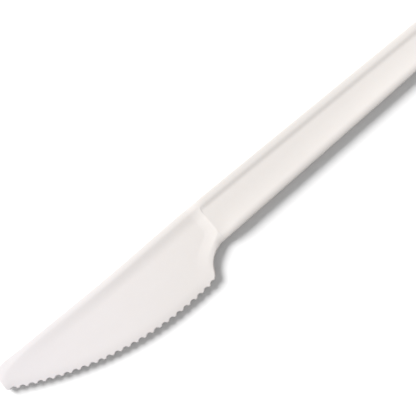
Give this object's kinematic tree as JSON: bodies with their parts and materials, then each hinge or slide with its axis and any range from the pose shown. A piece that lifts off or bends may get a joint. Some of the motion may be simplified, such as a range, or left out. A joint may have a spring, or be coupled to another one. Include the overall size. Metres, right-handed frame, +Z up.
{
  "type": "plastic knife",
  "caption": "Flat moulded plastic table knife with a rounded blunt tip, a toothed curved edge, a raised spine and a thicker handle with a shallow sunk panel on each face.",
  "frame": {"origin": "under the middle of the knife's box, on the surface it lies on", "axes": "+X from the tip of the blade to the end of the handle, +Y towards the back (spine) side, with the teeth facing -Y, and +Z up, square to the faces"},
  "size_m": [0.166, 0.0208, 0.0032],
  "materials": {
    "moulded_plastic": "off-white, satin from the mould"
  },
  "bodies": {
    "root": {"knife": "moulded_plastic"}
  },
  "joints": []
}
